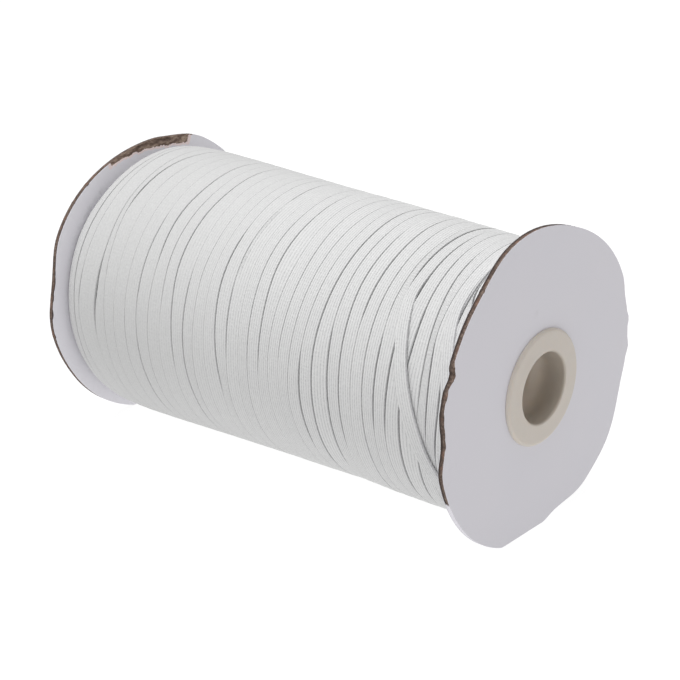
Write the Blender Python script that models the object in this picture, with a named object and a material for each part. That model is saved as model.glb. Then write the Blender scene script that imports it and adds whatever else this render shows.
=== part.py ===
"""A roll of narrow elastic, wound on a flanged spool that lies on its side.

The spool's axis runs along X, and the hub that faces +X is called the near one. +Z is up, -Y is
the front, and the origin lies under the middle of the spool on the surface it rests on.

A paper core tube carries the wound elastic between two round flanges of grey board. A moulded
hub is pressed into each end: its sleeve passes through the flange's hole into the tube, and its
collar holds the flange against the tube. Each flange is worn out of round, and both have a flat
at the bottom, on which the roll rests.
"""

import math

import bmesh
import bpy
import numpy as np

MM = 0.001
GAP = 0.3 * MM

# Spool
FLANGE_SPAN = 172.6 * MM  # over the two flanges' outer faces
BOARD = 1.8 * MM
AXIS_HEIGHT = 49.4 * MM  # the flats' distance from the axis
BORE_RADIUS = 11.7 * MM
SLEEVE_RADIUS = 13.2 * MM
SLEEVE_LENGTH = 12.0 * MM  # inside the core tube
COLLAR_RADIUS = 19.2 * MM
COLLAR_DEPTH = 1.4 * MM
COLLAR_SHOULDER = 2.6 * MM  # how far in from the edge its face starts
LIP_ROUNDING = 1.2 * MM
TUBE_WALL = 2.0 * MM

# Elastic
STRIP_WIDTH = 5.0 * MM
STRIP_THICKNESS = 0.9 * MM

ROUND_SEGMENTS = 48
RIM_SEGMENTS = 180
WINDING_SEGMENTS = 72
ARC_STEPS = 4
SHARP_ANGLE = math.radians(35)

# Angles run round the axis from the top towards the front.
# The rim's highest and lowest points: angle in degrees, radius in millimetres.
NEAR_RIM = (
    (20, 53.8), (44, 51.4), (64, 51.1), (69, 49.6), (74, 50.8), (80, 51.0), (93, 49.4),
    (106, 52.0), (158, 52.5), (184, 49.9), (193, 48.9), (216, 52.7), (231, 53.5), (255, 50.8),
    (264, 51.3), (268, 52.4), (272, 51.5), (276, 51.4), (279, 52.3), (283, 51.4), (289, 51.2),
    (298, 52.3), (338, 51.1),
)
FAR_RIM = (
    (8, 50.3), (61, 52.8), (80, 50.8), (100, 52.6), (125, 52.0), (170, 51.9), (215, 52.1),
    (270, 51.9), (315, 53.3), (330, 52.9), (354, 50.6),
)

# The winding's profile: distance along the axis and radius, in millimetres. It is wound a little
# fuller at the far end, and falls away beside each flange.
WOUND_PROFILE = (
    (-84.2, 44.8), (-81.5, 46.6), (-76.0, 47.9), (-65.0, 48.3), (-52.0, 48.0), (-31.0, 47.4),
    (-10.0, 46.9), (10.0, 46.6), (31.0, 46.0), (49.0, 45.4), (65.0, 44.7), (76.0, 44.3),
    (82.0, 43.9), (84.2, 43.2),
)
# One turn leaves its place and runs across its neighbours to the near flange: the angle in
# degrees, its middle's distance along the axis in millimetres, and how far it stands proud (0-1).
CROSSING_TURN = (
    (10, 61.5, 0.0), (49, 63.0, 1.0), (80, 70.5, 1.0), (110, 78.0, 1.0), (150, 81.0, 0.8),
    (200, 81.5, 0.0),
)
# The lower front of the near end swells where turns have piled up beside the flange.
SWELL = 1.2 * MM
SWELL_ANGLE = 130
SWELL_HALF_ANGLE = 75
SWELL_FROM = 35 * MM
SWELL_RISE = 30 * MM

COARSE_STEP = 6.0 * MM
FINE_STEP = 2.5 * MM
FINE_FROM = 54 * MM

BOARD_GREY = (0.60, 0.60, 0.62)
CARD_BROWN = (0.24, 0.17, 0.12)
HUB_IVORY = (0.62, 0.55, 0.46)
ELASTIC_WHITE = (0.78, 0.78, 0.78)


def clear_scene():
    for thing in list(bpy.data.objects):
        bpy.data.objects.remove(thing, do_unlink=True)


def material(name, colour, roughness):
    finish = bpy.data.materials.new(name)
    finish.use_nodes = True
    shader = finish.node_tree.nodes["Principled BSDF"]
    shader.inputs["Base Color"].default_value = (*colour, 1)
    shader.inputs["Roughness"].default_value = roughness
    shader.inputs["Metallic"].default_value = 0
    return finish


def axis_point(along, radius, angle):
    """A point at an angle in degrees, measured from the top towards the front."""
    turn = math.radians(angle)
    return along, -radius * math.sin(turn), radius * math.cos(turn)


def ring(along, radius, segments):
    """A round of points, where radius is a number or a function of the angle in degrees."""
    angles = [360 * i / segments for i in range(segments)]
    at = radius if callable(radius) else lambda angle: radius
    return [axis_point(along, at(angle), angle) for angle in angles]


def solid_of_rings(name, rings, finish, axis):
    """A closed solid whose skin runs from each ring to the next and from the last to the first."""
    shape = bmesh.new()
    loops = [[shape.verts.new(point) for point in points] for points in rings]
    for here, there in zip(loops, loops[1:] + loops[:1]):
        for i in range(len(here)):
            shape.faces.new((here[i - 1], here[i], there[i], there[i - 1]))
    bmesh.ops.recalc_face_normals(shape, faces=shape.faces)
    mesh = bpy.data.meshes.new(name)
    shape.to_mesh(mesh)
    shape.free()
    mesh.shade_smooth()
    mesh.set_sharp_from_angle(angle=SHARP_ANGLE)
    mesh.materials.append(finish)
    piece = bpy.data.objects.new(name, mesh)
    bpy.context.scene.collection.objects.link(piece)
    piece.parent = axis
    return piece


def rim_radius(rows, angle):
    """The rim's radius, eased from each of its highest or lowest points to the next."""
    (first_angle, first_radius), (last_angle, last_radius) = rows[0], rows[-1]
    whole_turn = [(last_angle - 360, last_radius), *rows, (first_angle + 360, first_radius)]
    after = next(i for i, row in enumerate(whole_turn) if row[0] > angle)
    (start, start_radius), (end, end_radius) = whole_turn[after - 1], whole_turn[after]
    eased = (1 - math.cos(math.pi * (angle - start) / (end - start))) / 2
    return (start_radius + (end_radius - start_radius) * eased) * MM


def worn_radius(rows, angle):
    """The rim's radius with the flat at the bottom taken off."""
    from_bottom = math.cos(math.radians(angle - 180))
    flat = AXIS_HEIGHT / from_bottom if from_bottom > 0 else math.inf
    return min(rim_radius(rows, angle), flat)


def make_flange(name, rows, side, finish, axis):
    """A board disc with a hole for the hub's sleeve. side is 1 at the near end, -1 at the far."""
    outer = side * FLANGE_SPAN / 2
    inner = outer - side * BOARD
    hole = SLEEVE_RADIUS + GAP
    rings = [
        ring(outer, hole, RIM_SEGMENTS),
        ring(outer, lambda angle: worn_radius(rows, angle), RIM_SEGMENTS),
        ring(inner, lambda angle: worn_radius(rows, angle), RIM_SEGMENTS),
        ring(inner, hole, RIM_SEGMENTS),
    ]
    return solid_of_rings(name, rings, finish, axis)


def quarter_round(along, radius, depth, width, start):
    """A quarter of an ellipse in the profile plane, turning back from start degrees."""
    corner = []
    for i in range(ARC_STEPS + 1):
        at = math.radians(start - 90 * i / ARC_STEPS)
        corner.append((along + depth * math.cos(at), radius + width * math.sin(at)))
    return corner


def make_hub(name, side, finish, axis):
    """A moulded plug: a low collar outside the flange and a sleeve that reaches into the tube."""
    sleeve_end = -BOARD - GAP - SLEEVE_LENGTH
    shoulder = COLLAR_DEPTH - GAP
    lip = LIP_ROUNDING
    profile = [(sleeve_end, SLEEVE_RADIUS), (GAP, SLEEVE_RADIUS)]
    profile += quarter_round(GAP, COLLAR_RADIUS - COLLAR_SHOULDER, shoulder, COLLAR_SHOULDER, 90)
    profile += quarter_round(COLLAR_DEPTH - lip, BORE_RADIUS + lip, lip, lip, 0)
    profile.append((sleeve_end, BORE_RADIUS))
    face = side * FLANGE_SPAN / 2
    rings = [ring(face + side * along, radius, ROUND_SEGMENTS) for along, radius in profile]
    return solid_of_rings(name, rings, finish, axis)


def make_core_tube(name, finish, axis):
    """The paper tube between the flanges, with the hubs' sleeves inside its ends."""
    end = FLANGE_SPAN / 2 - BOARD - GAP
    inside = SLEEVE_RADIUS + GAP
    outside = inside + TUBE_WALL
    profile = [(-end, inside), (-end, outside), (end, outside), (end, inside)]
    rings = [ring(along, radius, ROUND_SEGMENTS) for along, radius in profile]
    return solid_of_rings(name, rings, finish, axis)


def rounded_bump(distance, half_width):
    """1 in the middle, falling smoothly to 0 at half_width on both sides."""
    share = min(1.0, abs(distance) / half_width)
    return (1 + math.cos(math.pi * share)) / 2


def wound_radius(along, angle):
    """The winding's radius: its profile, the swelling beside the near flange and the ridge."""
    centred = (angle + 180 - SWELL_ANGLE) % 360 - 180 + SWELL_ANGLE
    profile_along, profile_radius = zip(*WOUND_PROFILE)
    radius = float(np.interp(along / MM, profile_along, profile_radius)) * MM
    near_share = min(1.0, max(0.0, (along - SWELL_FROM) / SWELL_RISE))
    radius += SWELL * near_share * rounded_bump(centred - SWELL_ANGLE, SWELL_HALF_ANGLE)
    turn_angle, turn_along, turn_proud = zip(*CROSSING_TURN)
    middle = float(np.interp(centred, turn_angle, turn_along)) * MM
    proud = float(np.interp(centred, turn_angle, turn_proud, left=0, right=0))
    return radius + STRIP_THICKNESS * proud * rounded_bump(along - middle, STRIP_WIDTH)


def make_wound_elastic(name, finish, axis):
    """All the turns of elastic as one solid between the flanges, round the core tube."""
    end = FLANGE_SPAN / 2 - BOARD - GAP
    inside = SLEEVE_RADIUS + GAP + TUBE_WALL + GAP
    coarse = np.arange(-end + COARSE_STEP / 2, FINE_FROM, COARSE_STEP)
    fine = np.arange(FINE_FROM, end - FINE_STEP / 2, FINE_STEP)
    places = [-end, *coarse.tolist(), *fine.tolist(), end]
    rings = [ring(-end, inside, WINDING_SEGMENTS)]
    for along in places:
        rings.append(ring(along, lambda angle: wound_radius(along, angle), WINDING_SEGMENTS))
    rings.append(ring(end, inside, WINDING_SEGMENTS))
    return solid_of_rings(name, rings, finish, axis)


clear_scene()
spool_axis = bpy.data.objects.new("spool_axis", None)
spool_axis.location = (0, 0, AXIS_HEIGHT)
bpy.context.scene.collection.objects.link(spool_axis)

board = material("flange_board", BOARD_GREY, 0.8)
card = material("core_card", CARD_BROWN, 0.9)
ivory = material("hub_plastic", HUB_IVORY, 0.45)
elastic = material("elastic", ELASTIC_WHITE, 0.85)

make_core_tube("core_tube", card, spool_axis)
make_flange("flange_near", NEAR_RIM, 1, board, spool_axis)
make_flange("flange_far", FAR_RIM, -1, board, spool_axis)
make_hub("hub_near", 1, ivory, spool_axis)
make_hub("hub_far", -1, ivory, spool_axis)
make_wound_elastic("wound_elastic", elastic, spool_axis)
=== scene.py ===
"""The looks of a roll of narrow white elastic on a flanged spool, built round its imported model."""

import math
import random

import bpy
import numpy as np
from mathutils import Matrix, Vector, noise


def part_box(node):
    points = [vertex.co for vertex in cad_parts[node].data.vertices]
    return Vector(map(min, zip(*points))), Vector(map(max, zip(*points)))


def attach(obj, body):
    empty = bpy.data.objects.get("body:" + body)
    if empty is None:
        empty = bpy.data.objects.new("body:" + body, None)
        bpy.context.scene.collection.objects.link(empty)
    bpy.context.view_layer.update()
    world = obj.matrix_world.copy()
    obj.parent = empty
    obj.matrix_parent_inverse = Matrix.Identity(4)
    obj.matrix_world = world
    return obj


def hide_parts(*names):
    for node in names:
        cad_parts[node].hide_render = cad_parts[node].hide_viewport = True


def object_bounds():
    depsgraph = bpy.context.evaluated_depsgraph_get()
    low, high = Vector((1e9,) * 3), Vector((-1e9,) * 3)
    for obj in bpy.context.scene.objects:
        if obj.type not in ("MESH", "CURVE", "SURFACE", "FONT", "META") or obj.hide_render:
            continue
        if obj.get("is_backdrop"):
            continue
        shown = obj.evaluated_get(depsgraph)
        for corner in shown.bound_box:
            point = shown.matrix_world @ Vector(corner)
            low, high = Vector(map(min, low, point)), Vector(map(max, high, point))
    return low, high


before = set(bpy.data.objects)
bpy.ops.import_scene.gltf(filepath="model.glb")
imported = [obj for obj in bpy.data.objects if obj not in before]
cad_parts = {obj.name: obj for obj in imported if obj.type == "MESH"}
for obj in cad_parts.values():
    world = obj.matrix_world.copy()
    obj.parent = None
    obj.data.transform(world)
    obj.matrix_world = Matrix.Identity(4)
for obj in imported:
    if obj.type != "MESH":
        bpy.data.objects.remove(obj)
cad_low, cad_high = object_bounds()

# ---------------------------------------------------------------------------------------------
# The view and the studio: the roll lies on a pale sweep with its near hub turned towards the
# camera. One broad softbox hangs over its far end, and white card fills the front.
# ---------------------------------------------------------------------------------------------
MM = 0.001
tube_low, tube_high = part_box("core_tube")
near_low, near_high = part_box("flange_near")
far_low, far_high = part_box("flange_far")
AXIS = (tube_low.z + tube_high.z) / 2  # height of the spool's axis, which runs along X
SPAN = near_high.x - far_low.x

VIEW_AZIMUTH = math.radians(40.3)
VIEW_ELEVATION = math.radians(21.56)
VIEW_DISTANCE = 3.314 * SPAN
VIEW_CENTRE = Vector((0.022 * SPAN, 0.002 * SPAN, AXIS - 0.031 * SPAN))
VIEW_LENS = 88.16

camera_data = bpy.data.cameras.new("view")
camera_data.lens = VIEW_LENS
camera_data.clip_start = 0.01
camera = bpy.data.objects.new("view", camera_data)
view_back = Vector((
    math.sin(VIEW_AZIMUTH) * math.cos(VIEW_ELEVATION),
    -math.cos(VIEW_AZIMUTH) * math.cos(VIEW_ELEVATION),
    math.sin(VIEW_ELEVATION),
))
camera.location = VIEW_CENTRE + VIEW_DISTANCE * view_back
camera.rotation_euler = (math.pi / 2 - VIEW_ELEVATION, 0, VIEW_AZIMUTH)
bpy.context.scene.collection.objects.link(camera)
bpy.context.scene.camera = camera
bpy.context.scene.view_settings.view_transform = "Standard"


def add_softbox(name, place, size, watts):
    """A square light of a given side that faces the middle of the roll."""
    light = bpy.data.lights.new(name, "AREA")
    light.size = size
    light.energy = watts
    box = bpy.data.objects.new(name, light)
    box.location = place
    aim = Vector((0, 0, AXIS)) - Vector(place)
    box.rotation_euler = aim.to_track_quat("-Z", "Y").to_euler()
    bpy.context.scene.collection.objects.link(box)


add_softbox("overhead_box", (-0.15, -0.15, 1.3), 0.9, 15.4)
add_softbox("front_card", (-0.1, -1.2, 0.45), 0.8, 2.3)

ROOM_LIGHT = 0.43  # the room's own light, beside the two softboxes
world = bpy.data.worlds.new("studio")
world.use_nodes = True
backdrop = world.node_tree.nodes["Background"]
backdrop.inputs["Color"].default_value = (1.0, 1.0, 1.0, 1)
seen = world.node_tree.nodes.new("ShaderNodeLightPath")
strength = world.node_tree.nodes.new("ShaderNodeMath")  # plain white behind the floor
strength.operation = "MULTIPLY_ADD"
strength.inputs[1].default_value = 1 - ROOM_LIGHT
strength.inputs[2].default_value = ROOM_LIGHT
world.node_tree.links.new(seen.outputs["Is Camera Ray"], strength.inputs[0])
world.node_tree.links.new(strength.outputs[0], backdrop.inputs["Strength"])
bpy.context.scene.world = world


# Shader maths is written as plain expressions on signals, each of which wraps one socket.
class Signal:
    """A socket of a finish. Arithmetic on it adds Math nodes."""

    def __init__(self, finish, socket):
        self.finish = finish
        self.socket = socket

    def maths(self, operation, *values):
        return self.finish.node("ShaderNodeMath", {"operation": operation}, dict(enumerate(values)))

    def __add__(self, other):
        return self.maths("ADD", self, other)

    def __sub__(self, other):
        return self.maths("SUBTRACT", self, other)

    def __rsub__(self, other):
        return self.maths("SUBTRACT", other, self)

    def __mul__(self, other):
        return self.maths("MULTIPLY", self, other)

    def __pow__(self, other):
        return self.maths("POWER", self, other)

    __radd__ = __add__
    __rmul__ = __mul__

    def wave(self):
        """The sine of this signal, from -1 to 1."""
        return self.maths("SINE", self)

    def size(self):
        """This signal without its sign."""
        return self.maths("ABSOLUTE", self)

    def between(self, low, high):
        """0 below low, 1 above high, and a smooth step from one to the other."""
        limits = {"Value": self, "From Min": low, "From Max": high}
        return self.finish.node("ShaderNodeMapRange", {"interpolation_type": "SMOOTHSTEP"}, limits)


class Finish:
    """A material built on one Principled shader, whose constants are set straight on it."""

    def __init__(self, name, **constants):
        self.material = bpy.data.materials.new(name)
        self.material.use_nodes = True
        self.tree = self.material.node_tree
        self.shader = self.tree.nodes["Principled BSDF"]
        for socket, value in constants.items():
            self.shader.inputs[socket.replace("_", " ")].default_value = value

    def node(self, kind, settings=None, values=None, output=0):
        """Adds a node: its settings first, then its sockets' values or links."""
        made = self.tree.nodes.new(kind)
        for name, setting in (settings or {}).items():
            if name == "stops":
                for stop, (place, colour) in enumerate(setting):
                    if stop > 1:
                        made.color_ramp.elements.new(place)
                    made.color_ramp.elements[stop].position = place
                    made.color_ramp.elements[stop].color = (*colour, 1)
            else:
                setattr(made, name, setting)
        for name, value in (values or {}).items():
            if isinstance(value, Signal):
                self.tree.links.new(value.socket, made.inputs[name])
            else:
                made.inputs[name].default_value = value
        return Signal(self, made.outputs[output])

    def place(self, kind="Object"):
        """The surface's own coordinates: Object or UV."""
        return self.node("ShaderNodeTexCoord", output=kind)

    def part(self, vector, axis):
        """One coordinate of a vector."""
        return self.node("ShaderNodeSeparateXYZ", values={"Vector": vector}, output=axis)

    def stretched(self, vector, scale, shift=(0, 0, 0)):
        values = {"Vector": vector, "Scale": scale, "Location": shift}
        return self.node("ShaderNodeMapping", values=values)

    def speckle(self, vector, scale, detail=3.0, roughness=0.5):
        """Noise from 0 to 1."""
        values = {"Vector": vector, "Scale": scale, "Detail": detail, "Roughness": roughness}
        return self.node("ShaderNodeTexNoise", values=values, output="Fac")

    def blend(self, factor, first, second):
        """A colour between two colours or colour signals."""
        values = {0: factor, 6: first, 7: second}
        return self.node("ShaderNodeMix", {"data_type": "RGBA"}, values, output=2)

    def feed(self, socket, signal):
        self.tree.links.new(signal.socket, self.shader.inputs[socket])

    def relief(self, height, depth):
        """Gives the surface a relief whose height runs from 0 to 1 over depth in metres."""
        values = {"Height": height, "Distance": depth, "Strength": 1.0}
        self.feed("Normal", self.node("ShaderNodeBump", values=values))


def select_only(piece):
    bpy.ops.object.select_all(action="DESELECT")
    piece.select_set(True)
    bpy.context.view_layer.objects.active = piece


FLOOR_SIDE = 12.0
FLOOR_GAP = 0.1 * MM  # keeps the floor from touching the flanges' flats
FLOOR_GLOW = 0.93  # the sweep is lit from below as well, so that it stays nearly white
select_only(camera)
bpy.ops.mesh.primitive_plane_add(size=FLOOR_SIDE, location=(0, 0, cad_low.z - FLOOR_GAP))
floor = bpy.context.object
floor.name = "pale_floor"
floor_finish = Finish("pale_sweep", Base_Color=(0.12, 0.12, 0.12, 1), Roughness=0.9)
floor_finish.shader.inputs["Emission Color"].default_value = (1.0, 1.0, 1.0, 1)
floor_finish.shader.inputs["Emission Strength"].default_value = FLOOR_GLOW
floor.data.materials.append(floor_finish.material)
floor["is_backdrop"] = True

# ---------------------------------------------------------------------------------------------
# The core: a brown kraft paper tube, wound from strips and glued, which runs from flange to
# flange under the elastic. Only its inside shows, past the hubs' sleeves.
# ---------------------------------------------------------------------------------------------
kraft = Finish("brown_kraft_card", Roughness=0.88)
kraft_place = kraft.place()
kraft_fibres = kraft.speckle(kraft.stretched(kraft_place, (400, 1400, 1400)), 1.0, 4.0, 0.65)
kraft_cloud = kraft.speckle(kraft_place, 90.0, 3.0)
kraft_colour = kraft.blend(kraft_fibres, (0.285, 0.250, 0.203, 1), (0.38, 0.34, 0.285, 1))
kraft_colour = kraft.blend(0.35 * kraft_cloud, kraft_colour, (0.36, 0.30, 0.24, 1))
kraft.feed("Base Color", kraft_colour)
kraft.relief(kraft_fibres, 0.05 * MM)
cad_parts["core_tube"].data.materials.clear()
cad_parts["core_tube"].data.materials.append(kraft.material)

# ---------------------------------------------------------------------------------------------
# The hubs: two ivory bushings moulded in plastic. A low collar with a rounded shoulder lies on
# the flange round the bore, and a thin sleeve behind it is pressed into the end of the tube.
# ---------------------------------------------------------------------------------------------
HUB_SEGMENTS = 160
LIP_RISE = 0.08 * MM  # how far the lip round the bore stands over the collar's land
LIP_ROUND = 0.6 * MM
LAND_INSET = 2.2 * MM  # the flat land stops this far from the bore and from the collar's edge
SHOULDER = 1.22 * MM  # the collar's rounded edge
SLEEVE_WALL = 1.5 * MM
SLEEVE_BEVEL = 0.3 * MM
# Inside the sleeve from its end: the distance in mm, and how much wider than the bore in mm.
SLEEVE_STEPS = ((0.0, 0.25), (0.25, 0), (3.0, 0), (3.1, 0.08), (9.0, 0.05), (9.1, -0.02))


def ring_sizes(node):
    """The smallest and largest radius of a CAD node round the spool's axis."""
    radii = [math.hypot(v.co.y, v.co.z - AXIS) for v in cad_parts[node].data.vertices]
    return min(radii), max(radii)


def turn_rings(name, rows, segments):
    """A closed ring about the axis. A circle is extruded through rows of (along, radius)."""
    along, radius = rows[0]
    bpy.ops.object.select_all(action="DESELECT")
    bpy.ops.mesh.primitive_circle_add(
        vertices=segments, radius=radius, location=(along, 0, AXIS), rotation=(0, math.pi / 2, 0)
    )
    piece = bpy.context.object
    piece.name = name
    bpy.ops.object.mode_set(mode="EDIT")
    bpy.ops.mesh.select_all(action="SELECT")
    for next_along, next_radius in rows[1:] + rows[:1]:
        shift = {"value": (next_along - along, 0, 0)}
        bpy.ops.mesh.extrude_region_move(TRANSFORM_OT_translate=shift)
        size = next_radius / radius
        centre = (next_along, 0, AXIS)
        bpy.ops.transform.resize(value=(1, size, size), center_override=centre)
        along, radius = next_along, next_radius
    bpy.ops.mesh.select_all(action="SELECT")
    bpy.ops.mesh.remove_doubles(threshold=0.01 * MM)
    bpy.ops.mesh.normals_make_consistent(inside=False)
    bpy.ops.object.mode_set(mode="OBJECT")
    bpy.ops.object.transform_apply(location=True, rotation=True, scale=True)
    return piece


def arc_rows(centre_along, centre_radius, size, first, last, steps):
    """Rows along a rounded edge, whose angle starts at outwards from the axis."""
    rows = []
    for i in range(steps + 1):
        angle = math.radians(first + (last - first) * i / steps)
        rows.append((
            centre_along + size * math.sin(angle),
            centre_radius + size * math.cos(angle),
        ))
    return rows


def hub_rows(outer_face, sleeve_end, board_face, radii):
    """The hub's outline from the sleeve's end out through the bore and over the collar."""
    bore, collar = radii
    out = 1 if outer_face > sleeve_end else -1
    sleeve = bore + SLEEVE_WALL
    rows = [(sleeve_end + out * along * MM, bore + wider * MM) for along, wider in SLEEVE_STEPS]
    land = outer_face - out * LIP_RISE
    seat = board_face + out * 0.02 * MM  # the collar's underside, a hair off the paper
    for along, radius in arc_rows(0, bore + LIP_ROUND, LIP_ROUND, 180, 90, 6):
        rows.append((outer_face - out * (LIP_ROUND - along), radius))
    rows += [
        (outer_face, bore + 1.3 * MM), (outer_face - out * 0.03 * MM, bore + 1.6 * MM),
        (land, bore + LAND_INSET), (land, collar - LAND_INSET),
    ]
    for along, radius in arc_rows(0, collar - SHOULDER, SHOULDER, 90, 0, 9):
        rows.append((land - out * (SHOULDER - along), radius))
    rows += [
        (seat, collar - 0.06 * MM), (seat, sleeve + SLEEVE_BEVEL),
        (board_face - out * 0.2 * MM, sleeve), (sleeve_end + out * 0.4 * MM, sleeve),
        (sleeve_end, sleeve - SLEEVE_BEVEL),
    ]
    return rows


MARK_PITCH = 0.42 * MM  # faint rings left by the mould's turned face
ivory = Finish("ivory_moulded_plastic", Subsurface_Weight=0.25, Subsurface_Scale=0.002)
ivory.shader.inputs["Subsurface Radius"].default_value = (1.0, 0.7, 0.5)
ivory_place = ivory.place()
centred = ivory.stretched(ivory_place, (1, 1, 1), (0, 0, -AXIS))
ivory_y = ivory.part(centred, "Y")
ivory_z = ivory.part(centred, "Z")
ring_radius = (ivory_y * ivory_y + ivory_z * ivory_z) ** 0.5
turned_marks = (ring_radius * (2 * math.pi / MARK_PITCH)).wave()
ivory_cloud = ivory.speckle(ivory_place, 160.0, 3.0)
ivory_grain = ivory.speckle(ivory_place, 1500.0, 3.0)
hub_bore = ring_sizes("hub_near")[0]
in_bore = 1 - ring_radius.between(hub_bore + 0.1 * MM, hub_bore + 0.9 * MM)
ivory_colour = ivory.blend(ivory_cloud, (0.575, 0.520, 0.462, 1), (0.635, 0.580, 0.522, 1))
ivory_colour = ivory.blend(0.10 * ivory_grain, ivory_colour, (0.52, 0.47, 0.40, 1))
outward = ivory.part(ivory_place, "X").size()
# Painted shade and light in the bore: its wall is painted dark near the mouth, where shade falls, and
# painted brighter than the ivory deeper in, where little light reaches.
deep = 1 - outward.between(near_high.x - 10 * MM, near_high.x + 1 * MM)
bore_painted_shade_and_light = ivory.blend(deep, (0.43, 0.38, 0.32, 1), (0.93, 0.83, 0.73, 1))
ivory_colour = ivory.blend(0.9 * in_bore, ivory_colour, bore_painted_shade_and_light)
ivory.feed("Base Color", ivory_colour)
ivory.feed("Roughness", 0.36 + 0.16 * ivory_cloud)
ivory.relief(0.5 * ivory_grain + 0.25 * turned_marks, 0.012 * MM)

for node, flange_face, side in (("hub_near", near_high.x, 1), ("hub_far", far_low.x, -1)):
    hub_low, hub_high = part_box(node)
    outer, inner = (hub_high.x, hub_low.x) if side > 0 else (hub_low.x, hub_high.x)
    outline = hub_rows(outer, inner, flange_face, ring_sizes(node))
    hub = turn_rings(node.replace("hub", "bushing"), outline, HUB_SEGMENTS)
    select_only(hub)
    bpy.ops.object.shade_smooth_by_angle(angle=math.radians(40))
    hub.data.materials.append(ivory.material)
    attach(hub, "root")
    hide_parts(node)

# ---------------------------------------------------------------------------------------------
# The flanges: two discs cut by hand from grey-brown board with thin white paper on both faces.
# The cut rim shows the board's raw fibres, and a strip of the far one's paper has been torn off.
# ---------------------------------------------------------------------------------------------
FLANGE_SEGMENTS = 720
BLANK = 50 * MM  # the radius of the round blank that is cut to the outline
PAPER = 0.12 * MM
RIM_RECESS = 0.22 * MM
TORN_FIRST = -21.0  # the torn patch's first and last angle, and its depth from the rim
TORN_LAST = 26.0
TORN_DEPTH = 3.0 * MM
TORN_SIDE = 0.14 * MM  # how far down the rim the tear shows
TORN_SINK = 0.16 * MM
FRILL = 0.75 * MM  # the width of the torn paper's own edge
CHIP_ANGLE = 68  # the near rim's bruised corner
CHIP_HALF_ANGLE = 6
CHIP_DEPTH = 1.1 * MM
WORN_ANGLE = 84  # where the paper has worn back from the cut
WORN_HALF_ANGLE = 34
RUBBED_FIRST = 112  # the rim is rubbed pale where the roll lies and rolls on it
RUBBED_LAST = 215


def smooth(share):
    """A step from 0 to 1 with no corner."""
    share = np.clip(share, 0, 1)
    return share * share * (3 - 2 * share)


def rim_outline(node):
    """The rim's angles in degrees and its radii, read from the CAD flange."""
    rim = {}
    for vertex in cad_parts[node].data.vertices:
        out, up = -vertex.co.y, vertex.co.z - AXIS
        radius = math.hypot(out, up)
        if radius > 0.8 * AXIS:
            rim[round(math.degrees(math.atan2(out, up)) % 360, 2)] = radius
    angles = sorted(rim)
    return np.array(angles), np.array([rim[angle] for angle in angles])


def flange_rows(inner, outer, bore, rim):
    """The board's outline: the bore, the face against the elastic, the rim, the outer face."""
    out = 1 if outer > inner else -1
    # Rows lie closer together towards the rim, where the paper is worn and torn.
    face_radii = [bore + 0.2 * MM, 20 * MM, 28 * MM, 36 * MM, 42 * MM]
    face_radii += [rim - depth * MM for depth in np.arange(5.2, 0.75, -0.36)]
    face_radii += [rim - depth * MM for depth in (0.62, 0.42, 0.24, 0.10)]
    edge = [(0.02, 0.03), (0.05, 0.0), (0.09, 0.0), (0.14, 0.05)]
    depth = abs(outer - inner)
    rows = [(inner, radius) for radius in face_radii]
    rows += [(inner + out * along * MM, rim - recess * MM) for along, recess in edge]
    rows += [(inner + out * share * depth, rim - 0.08 * MM) for share in np.linspace(0.13, 0.87, 10)]
    rows += [(outer - out * along * MM, rim - recess * MM) for along, recess in edge[::-1]]
    rows += [(outer, radius) for radius in face_radii[::-1]]
    return rows


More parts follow.
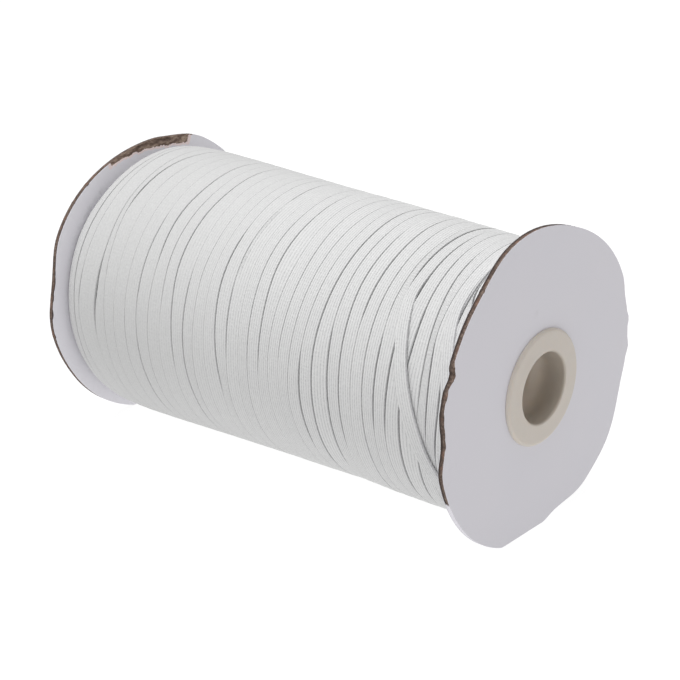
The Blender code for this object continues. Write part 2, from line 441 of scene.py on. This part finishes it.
def weather_flange(flange, node, inner, outer, bore, torn):
    """Takes the round blank to the hand-cut outline, and frays the raw edge."""
    angles, radii = rim_outline(node)
    bare = flange.data.attributes.new("bare", "FLOAT", "POINT")
    face = flange.data.attributes.new("torn", "FLOAT", "POINT")
    out = 1 if outer > inner else -1
    for vertex in flange.data.vertices:
        across, up = -vertex.co.y, vertex.co.z - AXIS
        radius = math.hypot(across, up)
        angle = math.degrees(math.atan2(across, up)) % 360
        cut = float(np.interp(angle, angles, radii, period=360))
        cut = min(cut, AXIS / max(-math.cos(math.radians(angle)), 0.1))  # flat where it stands
        in_from_rim = BLANK - radius
        share = min(1.0, max(0.0, (radius - bore) / (BLANK - 6 * MM - bore)))
        new_radius = radius + (cut - BLANK) * share
        depth = (vertex.co.x - inner) * out  # from the face against the elastic
        full = abs(outer - inner)
        facing = min(depth, full - depth)
        spot = Vector((vertex.co.x, across, up))
        fray = noise.noise(spot * 900.0) * 0.6 + noise.noise(spot * 2400.0) * 0.4
        bared = 0.0
        if facing > PAPER:
            bared = 1.0
            new_radius -= RIM_RECESS * (0.5 + 0.75 * fray)
        elif in_from_rim < 1.0 * MM:
            worn = float(smooth(1 - abs(angle - WORN_ANGLE) / WORN_HALF_ANGLE))
            chip = (1 - 0.72 * worn) * noise.noise(Vector((angle * 0.22, 7.0 * out, 3.0)))
            chip += 0.55 * worn - 0.42 - in_from_rim / (2 * MM)
            bared = max(0.0, min(1.0, chip * 8 + 0.25 * fray))
            new_radius -= 0.05 * MM * max(0.0, fray)
        along_face = 0.0
        if not torn and depth > full - PAPER:
            chipped = smooth(1 - abs(angle - CHIP_ANGLE) / CHIP_HALF_ANGLE)
            chipped = (CHIP_DEPTH * chipped * (1 + 0.5 * fray) - in_from_rim) / (0.3 * MM)
            bared = max(bared, float(np.clip(chipped, 0, 1)))
            face.data[vertex.index].value = float(np.clip(chipped, 0, 1))
            along_face = -PAPER * float(np.clip(chipped, 0, 1))
        if torn and depth < TORN_SIDE:
            angle_here = (angle + 180) % 360 - 180
            ragged = 0.9 * noise.noise(Vector((angle_here * 0.30, 2.0, 5.0)))
            ragged += 0.6 * noise.noise(Vector((angle_here * 1.1, 9.0, 1.0)))
            taper = 0.5 + 0.6 * float(smooth((TORN_LAST - angle_here) / 34))
            reach = TORN_DEPTH * taper * (1 + 0.28 * ragged)
            ends = min(angle_here - TORN_FIRST, TORN_LAST - angle_here) / 3.0 + 0.5 * ragged
            patch = float(np.clip(min((reach - in_from_rim) / (0.35 * MM), ends * 1.5), 0, 1))
            frill = FRILL * (1 + 0.7 * noise.noise(Vector((angle_here * 0.8, 4.0, 8.0))))
            fringe = min((reach + frill - in_from_rim) / (0.3 * MM), ends * 1.5 + 0.8)
            bared = max(bared, patch)
            face.data[vertex.index].value = float(np.clip(fringe, 0, 1))
            along_face = TORN_SINK * patch * (0.8 + 0.7 * fray)
        if not torn:
            rubbed = smooth((angle - RUBBED_FIRST) / 10) * smooth((RUBBED_LAST - angle) / 20)
            bared *= 1 - float(rubbed)
        scale = new_radius / radius
        vertex.co.y *= scale
        vertex.co.z = AXIS + up * scale
        vertex.co.x += out * along_face
        bare.data[vertex.index].value = bared


board = Finish("white_papered_board")
board_place = board.place()
bare_board = board.node("ShaderNodeAttribute", {"attribute_name": "bare"}, output="Fac")
fluff = board.speckle(board_place, 2300.0, 3.0, 0.7)
bare_mask = (bare_board + 0.5 * fluff - 0.25).between(0.42, 0.58)
face_torn = board.node("ShaderNodeAttribute", {"attribute_name": "torn"}, output="Fac")
torn_fringe = (face_torn + 0.5 * fluff - 0.25).between(0.4, 0.6)
cloud = board.speckle(board_place, 45.0, 3.0)
pulp = board.speckle(board_place, 900.0, 3.0, 0.6)
soil = board.speckle(board.stretched(board_place, (1, 1, 1), (0.31, 0.17, 0.53)), 120.0, 4.0, 0.65)
outward = board.part(board_place, "X").size()
# Painted light: the paper on the faces towards the elastic is painted paler than on the outer faces, to
# brighten faces that lie in shade.
inner_face_painted_light = 1 - outward.between(near_low.x + 0.02 * MM, near_low.x + 0.1 * MM)
paper = board.blend(cloud, (0.684, 0.673, 0.720, 1), (0.708, 0.686, 0.726, 1))
paper = board.blend(inner_face_painted_light, paper, (0.82, 0.805, 0.85, 1))
paper = board.blend(0.10 * pulp, paper, (0.66, 0.65, 0.68, 1))
paper = board.blend(0.22 * soil.between(0.66, 0.78), paper, (0.52, 0.50, 0.52, 1))
layers = board.speckle(board.stretched(board_place, (5200, 260, 260)), 1.0, 3.0, 0.6)
clumps = board.speckle(board_place, 1100.0, 4.0, 0.65)
# The darkest pulp colour, used for the board's dark fibres and for the painted shade along the rim.
DARK_PULP_AND_SHADE = (0.030, 0.020, 0.017)
strands = ((0.32, DARK_PULP_AND_SHADE), (0.5, (0.110, 0.075, 0.059)), (0.68, (0.33, 0.25, 0.20)))
raw = board.node("ShaderNodeValToRGB", {"stops": strands}, {"Fac": 0.45 * layers + 0.55 * clumps})
rust = board.speckle(board_place, 420.0, 2.0)
raw = board.blend(0.5 * rust.between(0.5, 0.7), raw, (0.22, 0.115, 0.078, 1))
# Painted shade: the raw rim is painted dark along its side towards the elastic, where shade falls
# against the winding, except on the tear.
inner_shade = 1 - outward.between(near_low.x + 0.2 * MM, near_low.x + 1.2 * MM)
on_tear = face_torn.between(0, 0.3)
raw = board.blend(0.80 * inner_shade * (1 - on_tear), raw, (*DARK_PULP_AND_SHADE, 1))
shreds = board.speckle(board.stretched(board_place, (500, 230, 700)), 1.0, 4.0, 0.6)
torn_strands = ((0.36, (0.075, 0.048, 0.036)), (0.5, (0.185, 0.125, 0.095)), (0.64, (0.42, 0.32, 0.25)))
torn_face = board.node("ShaderNodeValToRGB", {"stops": torn_strands}, {"Fac": shreds})
raw = board.blend(on_tear, raw, torn_face)
surface = board.blend(torn_fringe * 0.9, paper, (0.88, 0.73, 0.71, 1))
surface = board.blend(bare_mask, surface, raw)
board.feed("Base Color", surface)
board.feed("Roughness", 0.62 + 0.3 * bare_mask)
board.relief(0.10 * pulp + bare_mask * (0.4 * clumps + 0.5 * layers), 0.12 * MM)

for name, node, low, high, side in (
    ("near_flange", "flange_near", near_low, near_high, 1),
    ("far_flange", "flange_far", far_low, far_high, -1),
):
    inner, outer = (low.x, high.x) if side > 0 else (high.x, low.x)
    bore = ring_sizes(node)[0]
    flange = turn_rings(name, flange_rows(inner, outer, bore, BLANK), FLANGE_SEGMENTS)
    weather_flange(flange, node, inner, outer, bore, side < 0)
    select_only(flange)
    bpy.ops.object.shade_smooth_by_angle(angle=math.radians(35))
    flange.data.materials.append(board.material)
    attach(flange, "root")
    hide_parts(node)

# ---------------------------------------------------------------------------------------------
# The elastic: one white braided strip of five millimetres, laid turn beside turn under light
# tension, so that each turn sits in its own groove, many gape, and three cross over the rest.
# ---------------------------------------------------------------------------------------------
STRIP_THICKNESS = 0.9 * MM
STRIP_RIBS = 5
RIB_DEPTH = 0.16 * MM
FLAT_RIBS = 0.3  # the ribs are drawn flat towards the far flange
CROWN = 0.07 * MM
STEPS_PER_TURN = 108
# How far the top turns lie below the modelled skin, over the distance along the axis, in mm.
BELOW_SKIN = (
    (-84.2, 0.3), (-82.6, -0.25), (-79, -0.8), (-60, -0.65), (-40, -0.45), (-15, -0.1),
    (5, 0.25), (30, 0.36), (84, 0.38),
)
SAG = 0.5 * MM  # the underside hangs a little loose
SAG_ANGLE = 150
SAG_HALF_ANGLE = 70
DIP = 1.9 * MM  # the first turns lie slack against the far flange at the upper front
DIP_ANGLE = 14
DIP_HALF_ANGLE = 48
DIP_FROM = -78 * MM
DIP_FALL = 6 * MM
CLEAN_ANGLE = -60  # no turn crosses here
FRONT_ANGLE = 50  # the angle at which the edges' places are given
BACK_ANGLES = (FRONT_ANGLE - 180, FRONT_ANGLE + 180)
PATH_STEP = 4.0  # degrees
STRAY_FADE = 50  # degrees past its last pair, where an edge is back on its even course
LAST_EDGE = 37

# Angles run round the axis from the top towards the front, in degrees, and distances along the
# axis are in millimetres. First, the edge between two turns by its number from the far flange.
EDGES = (
    (-1, -84.2), (0, -84.0), (1, -80.3), (2, -77.0), (3, -72.2), (4, -65.8), (5, -63.2),
    (6, -57.2), (7, -51.9), (8, -46.3), (9, -41.3), (10, -36.3), (11, -31.8), (12, -25.4),
    (13, -20.7), (14, -16.6), (15, -12.5), (16, -7.4), (17, -1.8), (18, 2.3), (19, 6.85),
    (20, 12.9), (21, 17.5), (22, 22.0), (23, 26.3), (24, 30.7), (25, 35.3), (26, 39.8),
    (27, 45.0), (28, 49.5), (29, 53.7), (30, 59.8), (31, 65.3), (32, 70.1), (33, 72.2),
    (34, 77.5), (35, 83.6), (36, 84.2), (37, 84.2),
)
# Where an edge runs over the front: its number, then pairs of angle and distance.
EDGE_PATHS = {
    0: ((-30, -84.0), (5, -82.0), (25, -81.8), (45, -82.8), (68, -84.0)),
    2: ((8, -74.6), (35, -76.2), (60, -77.4), (72, -77.7)),
    3: ((40, -72.6), (66, -73.6), (88, -74.6)),
    4: ((20, -66.0), (40, -66.2), (60, -65.3), (80, -65.1), (95, -65.8), (115, -64.8)),
    5: ((-5, -61.2), (10, -62.9), (20, -63.6), (40, -64.3), (60, -62.6), (90, -61.0)),
    6: ((0, -56.3), (20, -57.6), (30, -58.0), (60, -56.8)),
    8: ((40, -46.2), (60, -46.3), (80, -45.8), (100, -45.4), (115, -44.9)),
    9: ((20, -40.5), (35, -41.5), (45, -41.5), (55, -40.9), (62, -40.5)),
    10: ((22, -35.4), (35, -36.1), (50, -36.3), (60, -36.0), (75, -34.8)),
    11: ((20, -30.9), (35, -31.7), (50, -31.8), (62, -31.5), (75, -30.1), (100, -28.9)),
    12: ((60, -25.0), (80, -24.5), (100, -24.0), (115, -23.2)),
    13: ((38, -20.6), (60, -20.8), (72, -20.0)),
    15: ((35, -12.2), (45, -12.5), (60, -12.2), (75, -10.8), (90, -9.5), (105, -8.2)),
    16: ((15, -6.9), (30, -7.45), (45, -7.6), (60, -6.7), (75, -5.7), (88, -4.8)),
    18: ((20, 2.8), (35, 2.1), (50, 2.3), (70, 3.5), (90, 4.2)),
    19: ((20, 7.3), (35, 6.7), (50, 6.85), (62, 7.9), (75, 8.6), (90, 8.8)),
    20: ((40, 13.2), (60, 12.8), (90, 12.8)),
    21: ((40, 17.6), (60, 17.4), (80, 17.0)),
    22: ((10, 22.6), (30, 22.3), (50, 22.0), (80, 21.5), (97, 21.1)),
    23: ((20, 27.0), (50, 26.3), (80, 25.7), (100, 25.8), (115, 26.5)),
    24: ((20, 31.3), (50, 30.7), (75, 30.3), (100, 31.0), (130, 31.2)),
    25: ((20, 35.7), (40, 35.2), (60, 35.6), (80, 36.7), (100, 37.6), (125, 38.0)),
    26: ((20, 40.1), (45, 39.75), (60, 40.5), (80, 41.4), (100, 42.2), (113, 42.5)),
    27: ((20, 45.3), (45, 44.9), (60, 45.3), (80, 46.1), (95, 46.8)),
    28: ((20, 49.7), (50, 49.5), (70, 50.2), (90, 51.0), (120, 52.0)),
    29: ((10, 54.6), (30, 53.8), (50, 53.7), (60, 54.5), (80, 55.1), (100, 55.6)),
    30: (
        (-60, 60.6), (10, 60.7), (30, 60.3), (45, 60.4), (56, 59.9), (64, 59.6), (80, 60.0),
        (110, 59.7),
    ),
    31: ((20, 64.5), (40, 64.8), (55, 65.5), (68, 65.8), (83, 65.1), (100, 65.05), (130, 64.8)),
    32: ((15, 68.7), (30, 68.8), (50, 70.1), (70, 71.6), (88, 72.1), (105, 71.6), (130, 70.3)),
    33: ((20, 72.4), (40, 72.1), (57, 72.4), (65, 73.6), (80, 74.9), (97, 75.1), (115, 75.5)),
    34: ((20, 77.0), (50, 77.5), (70, 78.3), (78, 79.0), (88, 79.1), (95, 78.5), (130, 77.0)),
    35: (
        (-60, 83.6), (-20, 80.5), (0, 78.4), (18, 77.5), (26, 77.2), (31, 77.3), (37, 78.0),
        (43, 80.0), (50, 82.6), (56, 83.7),
    ),
    36: ((50, 84.2),),
}
# The turn before edge 30 gives way to the first crossing, which lies beside it until it lifts.
GIVES_WAY = {
    30: (
        (-75, 56.2), (0, 56.9), (30, 56.1), (45, 56.4), (50, 57.4), (56, 58.9), (64, 59.6),
        (80, 60.0), (110, 59.7),
    ),
}
# Edges that gape: number, first and last angle, width in mm.
GAPES = (
    (2, -15, 124, 0.28), (3, 66, 90, 0.14), (4, -15, 120, 0.22), (5, -15, 44, 0.34),
    (6, 0, 32, 0.06), (7, 76, 108, 0.05), (8, 36, 138, 0.24), (9, -15, 64, 0.28),
    (10, 18, 80, 0.14), (11, -15, 104, 0.26), (12, 56, 142, 0.28), (13, 38, 70, 0.04),
    (15, 32, 110, 0.32), (16, -15, 92, 0.26), (17, 12, 30, 0.05), (18, 18, 94, 0.12),
    (19, -12, 94, 0.30), (20, 35, 90, 0.04), (21, 15, 86, 0.10), (22, 5, 98, 0.06),
    (23, 0, 80, 0.05), (23, 74, 124, 0.42), (24, -10, 137, 0.30), (25, 12, 64, 0.11),
    (25, 60, 132, 0.40), (26, 8, 117, 0.34), (27, -12, 64, 0.36), (27, 58, 98, 0.06),
    (28, 0, 125, 0.09), (29, 0, 60, 0.16), (29, 57, 104, 0.38), (30, -12, 52, 0.36),
    (30, 60, 104, 0.38), (31, 12, 56, 0.18), (31, 40, 78, 0.40), (31, 82, 136, 0.42),
    (32, 10, 92, 0.34), (32, 103, 142, 0.52), (33, 55, 100, 0.32), (34, -25, 62, 0.50),
    (34, 68, 110, 0.42), (35, 8, 66, 0.50),
)
GAPE_EASING = 12.0  # degrees
TIGHT_GAP = 0.02  # mm
TOP_SHARE = 0.35  # how much of its width a gape keeps over the top and the back
OPEN_GAP = 0.45  # mm, and from here on an edge is as round as the loose strip's
NARROWEST = 0.3 * MM
WIDEST = 8.0 * MM
# Where turns have piled up beside the near flange, at the lower front.
SWELL = 1.35 * MM
SWELL_ANGLE = 136
SWELL_HALF_ANGLE = 78
SWELL_FROM = 35 * MM
SWELL_RISE = 30 * MM

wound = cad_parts["wound_elastic"]
wound_low, wound_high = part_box("wound_elastic")


def skin_radius(along, angle):
    """The modelled winding's radius at a distance along the axis."""
    turn = math.radians(angle)
    outward = Vector((0, -math.sin(turn), math.cos(turn)))
    start = Vector((along, 0, AXIS)) + 0.1 * outward
    found, place, _, _ = wound.ray_cast(start, -outward)
    return (place - Vector((along, 0, AXIS))).length if found else 0.0


skin_places = np.linspace(wound_low.x + 0.05 * MM, wound_high.x - 0.05 * MM, 80)
skin_radii = np.array([skin_radius(along, CLEAN_ANGLE) for along in skin_places])
below_places, below_depths = np.array(BELOW_SKIN).T * MM


def turn_radius(along, angle):
    """The radius of the top layer of turns, for arrays of places and angles."""
    off_swell = np.abs((angle - SWELL_ANGLE + 180) % 360 - 180) / SWELL_HALF_ANGLE
    swell = SWELL * np.clip((along - SWELL_FROM) / SWELL_RISE, 0, 1) * smooth(1 - off_swell)
    off_sag = np.abs((angle - SAG_ANGLE + 180) % 360 - 180) / SAG_HALF_ANGLE
    off_dip = np.abs((angle - DIP_ANGLE + 180) % 360 - 180) / DIP_HALF_ANGLE
    dip = DIP * smooth((DIP_FROM - along) / DIP_FALL) * smooth(1 - off_dip)
    below = np.interp(along, below_places, below_depths) + dip
    return np.interp(along, skin_places, skin_radii) - below + swell + SAG * smooth(1 - off_sag)


def wobble(along, seed, size):
    """Smooth unevenness along a strip, for an array of lengths in turns."""
    values = [noise.noise(Vector((turn * size, seed, 0.5 * seed))) for turn in along]
    return np.array(values)


# The strip's cross-section: places from 0 to 1 across it, and heights in mm where it lies
# loose and where it is pressed against its neighbours.
EDGE_ACROSS = (0.0, 0.0, 0.016, 0.05)
LOOSE_HEIGHTS = (-0.85, -0.36, -0.15, -0.04)
PRESSED_HEIGHTS = (-0.85, -0.09, -0.04, -0.01)
rib_across = np.arange(1, 2 * STRIP_RIBS) / (2 * STRIP_RIBS)
rib_heights = np.where(np.arange(1, 2 * STRIP_RIBS) % 2, 0.0, -RIB_DEPTH)
strip_across = np.r_[EDGE_ACROSS, rib_across, 1 - np.array(EDGE_ACROSS[::-1])]
strip_crown = CROWN * (1 - (2 * strip_across - 1) ** 2) - CROWN


def strip_heights(looseness):
    """The cross-section's heights in metres for one edge's looseness, edge first."""
    loose, pressed = np.array(LOOSE_HEIGHTS) * MM, np.array(PRESSED_HEIGHTS) * MM
    return pressed + looseness[:, None] * (loose - pressed)


def lay_strip(name, angles, left, right, lift, tilt, left_loose, right_loose):
    """A closed mesh of a length of strip, from arrays with one value for each step along it.

    left and right are its edges' distances along the axis, lift is its height over the top
    layer, tilt raises its right edge and lowers its left, and looseness rounds each edge."""
    width = right - left
    full_width = smooth((width - 0.5 * MM) / (3.5 * MM))[:, None]
    plump = full_width * np.interp(left, (-60 * MM, 20 * MM), (FLAT_RIBS, 1.0))[:, None]
    height = np.concatenate([
        strip_heights(left_loose), rib_heights * plump, strip_heights(right_loose)[:, ::-1],
    ], axis=1) + strip_crown * full_width
    along = left[:, None] + width[:, None] * strip_across
    turn = np.radians(angles)[:, None]
    radius = turn_radius(along, angles[:, None]) + lift[:, None] + height
    radius = radius + tilt[:, None] * (strip_across - 0.5)
    points = np.stack([along, -radius * np.sin(turn), AXIS + radius * np.cos(turn)], -1)
    steps, count = along.shape
    corner = np.arange(steps * count).reshape(steps, count)
    after = np.roll(corner, -1, axis=1)
    sides = np.stack([corner[:-1], corner[1:], after[1:], after[:-1]], -1).reshape(-1, 4)
    ends = [corner[0].tolist(), corner[-1][::-1].tolist()]
    mesh = bpy.data.meshes.new(name)
    mesh.from_pydata(points.reshape(-1, 3).tolist(), [], sides.tolist() + ends)
    length = np.cumsum(np.r_[0, np.abs(np.diff(np.radians(angles)))] * np.median(radius))
    unrolled = np.stack([np.tile(strip_across, (steps, 1)), np.tile(length, (count, 1)).T], -1)
    mesh.uv_layers.new(name="strip")
    corners = np.empty(len(mesh.loops), np.int32)
    mesh.loops.foreach_get("vertex_index", corners)
    mesh.uv_layers["strip"].data.foreach_set("uv", unrolled.reshape(-1, 2)[corners].ravel())
    mesh.shade_smooth()
    mesh.set_sharp_from_angle(angle=math.radians(50))
    piece = bpy.data.objects.new(name, mesh)
    bpy.context.scene.collection.objects.link(piece)
    return piece


edge_numbers, edge_places = np.array(EDGES, float).T
path_angles = np.arange(BACK_ANGLES[0], BACK_ANGLES[1] + 1, PATH_STEP)


def path_table(paths):
    """How far each edge strays from its even course, over its number and its angle."""
    known = []
    for number, rows in sorted(paths.items()):
        at, places = np.array(rows, float).T
        even = np.interp(number + (at - FRONT_ANGLE) / 360, edge_numbers, edge_places)
        at = np.r_[at[0] - STRAY_FADE, at, at[-1] + STRAY_FADE]
        strayed = np.interp(path_angles, at, np.r_[0, places - even, 0])
        padded = np.pad(strayed, 2, mode="edge")
        known.append(np.convolve(padded, [0.1, 0.2, 0.4, 0.2, 0.1], mode="valid"))
    numbers = sorted(paths)
    table = [np.interp(np.arange(LAST_EDGE + 1), numbers, column) for column in np.array(known).T]
    return np.array(table).T


left_table = path_table(EDGE_PATHS)
right_table = path_table({**EDGE_PATHS, **GIVES_WAY})


def edge_place(turn, table):
    """An edge's distance along the axis in metres, where turn counts whole and part turns."""
    number = np.clip(np.floor(turn + 0.5).astype(int), 0, LAST_EDGE)
    angle = (turn - number) * 360 + FRONT_ANGLE
    step = np.clip((angle - path_angles[0]) / PATH_STEP, 0, len(path_angles) - 1.001)
    share = step - np.floor(step)
    before = np.floor(step).astype(int)
    strayed = table[number, before] * (1 - share) + table[number, before + 1] * share
    return (np.interp(turn, edge_numbers, edge_places) + strayed) * MM


hidden_gapes = random.Random(11)  # how the edges gape round the back
all_gapes = list(GAPES)
for number in range(1, 35):
    start = hidden_gapes.uniform(150, 215)
    length = hidden_gapes.uniform(30, 110)
    all_gapes.append((number, start, start + length, hidden_gapes.uniform(0.15, 0.6)))


def gape(turn):
    """How far an edge stands open, in metres."""
    opening = np.full(len(turn), TIGHT_GAP)
    for number, first, last, width in all_gapes:
        angle = (turn - number) * 360 + FRONT_ANGLE
        share = smooth((angle - first) / GAPE_EASING) * smooth((last - angle) / GAPE_EASING)
        in_front = smooth((np.abs(angle - BACK_ANGLES[0]) - 115) / 60)
        share = share * (TOP_SHARE + (1 - TOP_SHARE) * in_front)
        opening = np.maximum(opening, TIGHT_GAP + width * share)
    return opening * MM


# The top layer: one strip from flange to flange.
TOP_TURNS = 36.0
turns = np.arange(0.0, TOP_TURNS * STEPS_PER_TURN + 1) / STEPS_PER_TURN - 1.0
turn_angles = turns * 360 + FRONT_ANGLE
left_gape, right_gape = gape(turns), gape(turns + 1)
left_edge = edge_place(turns, left_table) + left_gape / 2
right_edge = edge_place(turns + 1, right_table) - right_gape / 2
right_edge = np.clip(right_edge, left_edge + NARROWEST, left_edge + WIDEST)
loose_end = smooth((turns - 10) / 18)  # the turns grow looser towards the near flange
unevenness = wobble(turns, 3.7, 2.3) + 0.6 * wobble(turns, 8.1, 0.9)
uneven_lift = (0.05 + 0.11 * loose_end) * MM * unevenness
uneven_tilt = (0.06 + 0.16 * loose_end) * MM * wobble(turns, 5.3, 1.7)
top_turns = lay_strip(
    "elastic_top_turns", turn_angles, left_edge, right_edge, uneven_lift, uneven_tilt,
    np.clip(left_gape / (OPEN_GAP * MM), 0, 1), np.clip(right_gape / (OPEN_GAP * MM), 0, 1),
)

# The layer below, laid the other way, shows in the gapes.
BELOW_TURNS = 37.8
BELOW_STEPS = 72
BELOW_DROP = STRIP_THICKNESS + 0.15 * MM
below_turns = np.arange(0.0, BELOW_TURNS * BELOW_STEPS + 1) / BELOW_STEPS - 0.9
below_pitch = (wound_high.x - wound_low.x) / LAST_EDGE
below_left = wound_high.x - below_pitch * (below_turns + 1)
below_right = np.clip(below_left + 0.99 * below_pitch, wound_low.x + NARROWEST, wound_high.x)
below_left = np.clip(below_left, wound_low.x, wound_high.x - NARROWEST)
level = np.zeros(len(below_turns))
layer_below = lay_strip(
    "elastic_layer_below", below_turns * 360, below_left, below_right,
    level - BELOW_DROP, level, level + 1, level + 1,
)

# Lengths of the strip that leave their turn and run over the others to the near flange, in rows
# of the angle, both edges' distances along the axis, and the height over the top layer in mm.
FIRST_CROSSING = (
    (-128, 57.2, 57.9, -0.7), (-80, 56.3, 60.4, -0.06), (0, 57.1, 60.7, 0.0), (30, 56.3, 60.1, 0.04),
    (45, 56.5, 60.3, 0.40), (50, 57.4, 61.3, 0.70), (60, 59.3, 63.5, 1.05), (70, 61.6, 65.9, 1.18),
    (84, 65.2, 69.9, 1.25), (95, 68.4, 73.3, 1.3), (105, 71.6, 76.2, 1.3), (115, 75.0, 79.4, 1.1),
    (125, 78.0, 82.4, 0.7), (140, 79.9, 84.1, 0.3), (180, 80.0, 84.1, 0.1), (240, 80.0, 84.1, -0.3),
    (290, 80.0, 84.1, -1.2),
)
SECOND_CROSSING = (
    (-90, 71.4, 74.6, -1.1), (-40, 72.0, 75.6, -0.1), (20, 72.5, 76.5, 0.12), (35, 72.7, 76.6, 0.40),
    (45, 73.4, 77.1, 0.60), (55, 74.9, 78.9, 0.75), (65, 77.0, 81.2, 0.75), (78, 79.4, 83.9, 0.5),
    (95, 80.4, 84.1, 0.0), (130, 80.5, 84.1, -0.5), (170, 80.5, 84.1, -1.2),
)
THIRD_CROSSING = (
    (-100, 78.2, 81.6, -1.1), (-50, 78.6, 82.4, -0.4), (0, 78.7, 83.2, 0.05), (18, 77.9, 82.5, 0.12),
    (26, 77.65, 82.2, 0.15), (31, 77.8, 82.3, 0.15), (37, 78.6, 83.0, 0.15), (43, 80.5, 84.1, 0.15),
    (50, 82.9, 84.1, 0.1), (56, 83.8, 84.1, 0.0),
)
# Slivers of the turn below, which rise beside an edge, in the same rows.
SLIVERS = (
    (
        (4, -7.8, -6.8, -0.7), (18, -7.35, -6.15, -0.16), (40, -7.5, -6.3, -0.10),
        (58, -6.9, -5.7, -0.16), (70, -6.1, -5.0, -0.7),
    ),
    (
        (62, -45.9, -44.6, -0.7), (74, -45.9, -44.1, -0.14), (96, -45.4, -43.6, -0.14),
        (108, -45.2, -44.2, -0.7),
    ),
    (
        (82, -66.0, -65.3, -0.7), (94, -65.8, -64.8, -0.14), (112, -65.3, -64.3, -0.14),
        (124, -65.0, -64.4, -0.7),
    ),
)
CROSSING_STEP = 2.4  # degrees
WANDER = 0.10  # mm
CROSSING_TILT = 0.18 * MM
CROSSING_LOOSENESS = 0.9


def smooth_between(rows, angles):
    """Each column of a table at many angles, through its rows without corners."""
    at, *columns = np.array(rows, float).T
    results = []
    for column in columns:
        slope = np.gradient(column, at)
        after = np.clip(np.searchsorted(at, angles), 1, len(at) - 1)
        gap = at[after] - at[after - 1]
        share = (angles - at[after - 1]) / gap
        rise, run = column[after] - column[after - 1], share * share * (3 - 2 * share)
        bend = share * (1 - share) ** 2 * slope[after - 1] - share**2 * (1 - share) * slope[after]
        results.append(column[after - 1] + rise * run + bend * gap)
    return results


def cross_over(name, rows, seed):
    """A length of strip that lies over its neighbours, from its rows."""
    angles = np.arange(rows[0][0], rows[-1][0] + 1, CROSSING_STEP)
    left, right, lift = smooth_between(rows, angles)
    wander = WANDER * wobble(angles / 360, seed, 5.0)
    right = np.maximum(np.minimum((right + wander) * MM, wound_high.x), (left + wander + 0.3) * MM)
    tilt = CROSSING_TILT * wobble(angles / 360, seed + 2, 3.0)
    loose = np.ones(len(angles)) * CROSSING_LOOSENESS
    return lay_strip(name, angles, (left + wander) * MM, right, lift * MM, tilt, loose, loose)


elastic_pieces = [
    top_turns, layer_below,
    cross_over("elastic_first_crossing", FIRST_CROSSING, 1.3),
    cross_over("elastic_second_crossing", SECOND_CROSSING, 6.9),
    cross_over("elastic_third_crossing", THIRD_CROSSING, 9.2),
]
for number, rows in enumerate(SLIVERS, 1):
    elastic_pieces.append(cross_over(f"elastic_sliver_{number}", rows, 20.0 + number))

PLAIT_PITCH = 1.2 * MM
elastic = Finish("white_braided_elastic", Roughness=0.85, Sheen_Weight=0.1, Sheen_Roughness=0.5)
elastic.shader.inputs["Specular IOR Level"].default_value = 0.2
elastic_place = elastic.place()
strip_place = elastic.place("UV")
across_strip = elastic.part(strip_place, "X")
along_strip = elastic.part(strip_place, "Y")
valley = (across_strip * (2 * math.pi * STRIP_RIBS) + math.pi / 2).wave()
valley = (0.5 + 0.5 * valley) ** 3.0
plait = ((along_strip * (2 * math.pi / PLAIT_PITCH)) + valley * 2.6).wave() * 0.5 + 0.5
yarn = elastic.speckle(elastic_place, 1500.0, 3.0, 0.6).between(0.35, 0.65)
patch = elastic.speckle(elastic_place, 60.0, 3.0)
# Painted shade: the strip's colour is painted darker towards the far flange, standing in for the shade
# of the ribs, which are drawn flat there.
near_end = elastic.part(elastic_place, "X").between(-70 * MM, 30 * MM)
ridge_painted_shade_far = elastic.blend(near_end, (0.508, 0.508, 0.506, 1), (0.610, 0.610, 0.608, 1))
# Painted shade: the valleys between the ribs are painted darker, for the shade that falls between them,
# less so towards the far flange.
cover_and_painted_shade = elastic.blend(valley * (0.3 + 0.7 * near_end), ridge_painted_shade_far, (0.430, 0.432, 0.434, 1))
light_yarn_painted_shade_far = elastic.blend(near_end, (0.61, 0.61, 0.607, 1), (0.71, 0.71, 0.707, 1))
cover_and_painted_shade = elastic.blend(0.14 * plait + 0.36 * yarn, cover_and_painted_shade, light_yarn_painted_shade_far)
cover_and_painted_shade = elastic.blend(0.25 * patch, cover_and_painted_shade, (0.53, 0.532, 0.534, 1))
elastic.feed("Base Color", cover_and_painted_shade)
elastic.relief(0.5 - valley * (0.15 + 0.35 * near_end) + 0.16 * plait + 0.22 * yarn, 0.12 * MM)
for piece in elastic_pieces:
    piece.data.materials.append(elastic.material)
    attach(piece, "root")
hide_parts("wound_elastic")

low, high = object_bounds()
